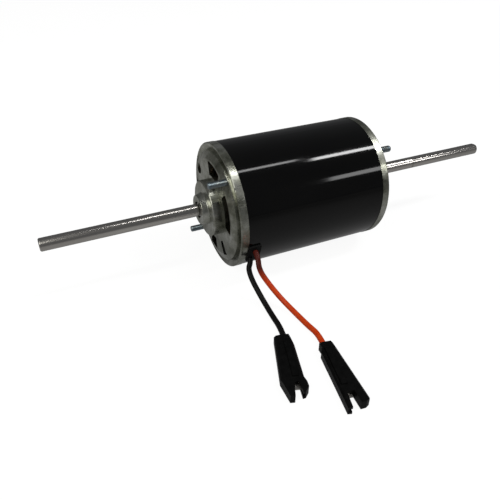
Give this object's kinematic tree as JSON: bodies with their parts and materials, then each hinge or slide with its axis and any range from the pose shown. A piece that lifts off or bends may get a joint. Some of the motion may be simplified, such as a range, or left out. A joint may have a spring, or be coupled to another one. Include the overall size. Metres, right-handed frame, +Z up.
{
  "type": "electric motor",
  "caption": "Two-ended permanent-magnet DC motor: black can between cast end caps, shaft out of both ends, projecting through-bolt studs and two leads with plugs.",
  "frame": {"origin": "on the surface the motor lies on, under the middle of the shaft", "axes": "+X along the shaft towards its flatted end, +Z up, leads towards -Y"},
  "size_m": [0.319, 0.186, 0.08],
  "materials": {
    "black_paint": "gloss",
    "cast_metal": "as cast, satin",
    "ferrite": "matte",
    "spring_steel": "satin",
    "plated_steel": "zinc plated, bright",
    "phenolic": "matte",
    "brass": "satin",
    "carbon": "matte",
    "copper": "satin",
    "black_rubber": "matte",
    "black_insulation": "semi-gloss",
    "red_insulation": "semi-gloss",
    "connector_plastic": "satin",
    "tinned_brass": "tinned, satin",
    "bright_steel": "ground and polished",
    "core_steel": "satin",
    "nylon": "satin",
    "bearing_steel": "polished"
  },
  "bodies": {
    "housing": {"housing_can": "black_paint", "left_end_cap": "cast_metal", "right_end_cap": "cast_metal", "front_magnet": "ferrite", "rear_magnet": "ferrite", "magnet_clips": "spring_steel", "upper_through_bolt": "plated_steel", "lower_through_bolt": "plated_steel", "lock_washers": "plated_steel", "bolt_nuts": "plated_steel", "brush_card": "phenolic", "card_screws": "plated_steel", "upper_brush_holder": "brass", "lower_brush_holder": "brass", "upper_brush_spring": "spring_steel", "lower_brush_spring": "spring_steel", "upper_brush_shunt": "copper", "lower_brush_shunt": "copper", "lead_grommet": "black_rubber", "black_inner_lead": "black_insulation", "red_inner_lead": "red_insulation", "black_lead": "black_insulation", "red_lead": "red_insulation", "black_connector": "connector_plastic", "red_connector": "connector_plastic", "black_terminal": "tinned_brass", "red_terminal": "tinned_brass", "left_bearing_outer_ring": "bearing_steel", "left_bearing_shields": "bright_steel", "left_dust_seal": "black_rubber", "right_bearing_outer_ring": "bearing_steel", "right_bearing_shields": "bright_steel", "right_dust_seal": "black_rubber", "right_preload_washer": "spring_steel", "left_shim_washer": "spring_steel"},
    "rotor": {"shaft": "bright_steel", "armature_core": "core_steel", "slot_liners": "phenolic", "armature_winding": "copper", "commutator_bars": "copper", "commutator_hub": "phenolic", "left_shaft_spacer": "nylon", "right_shaft_spacer": "nylon", "retaining_rings": "spring_steel", "right_bearing_inner_ring": "bearing_steel", "left_bearing_inner_ring": "bearing_steel"},
    "left_ball_cage": {"left_bearing_balls": "bearing_steel", "left_bearing_cage": "nylon"},
    "right_ball_cage": {"right_bearing_balls": "bearing_steel", "right_bearing_cage": "nylon"},
    "upper_brush_slider": {"upper_brush": "carbon"},
    "lower_brush_slider": {"lower_brush": "carbon"}
  },
  "joints": [
    {"name": "rotor_spin", "type": "hinge", "parent": "housing", "child": "rotor", "pos_m": [0, 0, 0.04], "axis": [1, 0, 0], "continuous": true},
    {"name": "left_cage_spin", "type": "hinge", "parent": "housing", "child": "left_ball_cage", "pos_m": [-0.053, 0, 0.04], "axis": [1, 0, 0], "continuous": true},
    {"name": "right_cage_spin", "type": "hinge", "parent": "housing", "child": "right_ball_cage", "pos_m": [0.053, 0, 0.04], "axis": [1, 0, 0], "continuous": true},
    {"name": "upper_brush_slide", "type": "slide", "parent": "housing", "child": "upper_brush_slider", "axis": [0, 0, 1], "range_m": [0, 0.0025], "stiffness_N_per_m": 250, "springref_m": -0.012, "deforming": ["upper_brush_spring", "upper_brush_shunt"]},
    {"name": "lower_brush_slide", "type": "slide", "parent": "housing", "child": "lower_brush_slider", "axis": [0, 0, -1], "range_m": [0, 0.0025], "stiffness_N_per_m": 250, "springref_m": -0.012, "deforming": ["lower_brush_spring", "lower_brush_shunt"]}
  ],
  "couplings": [
    {"joint": "left_cage_spin", "follows": "rotor_spin", "ratio": 0.36773},
    {"joint": "right_cage_spin", "follows": "rotor_spin", "ratio": 0.36773}
  ]
}
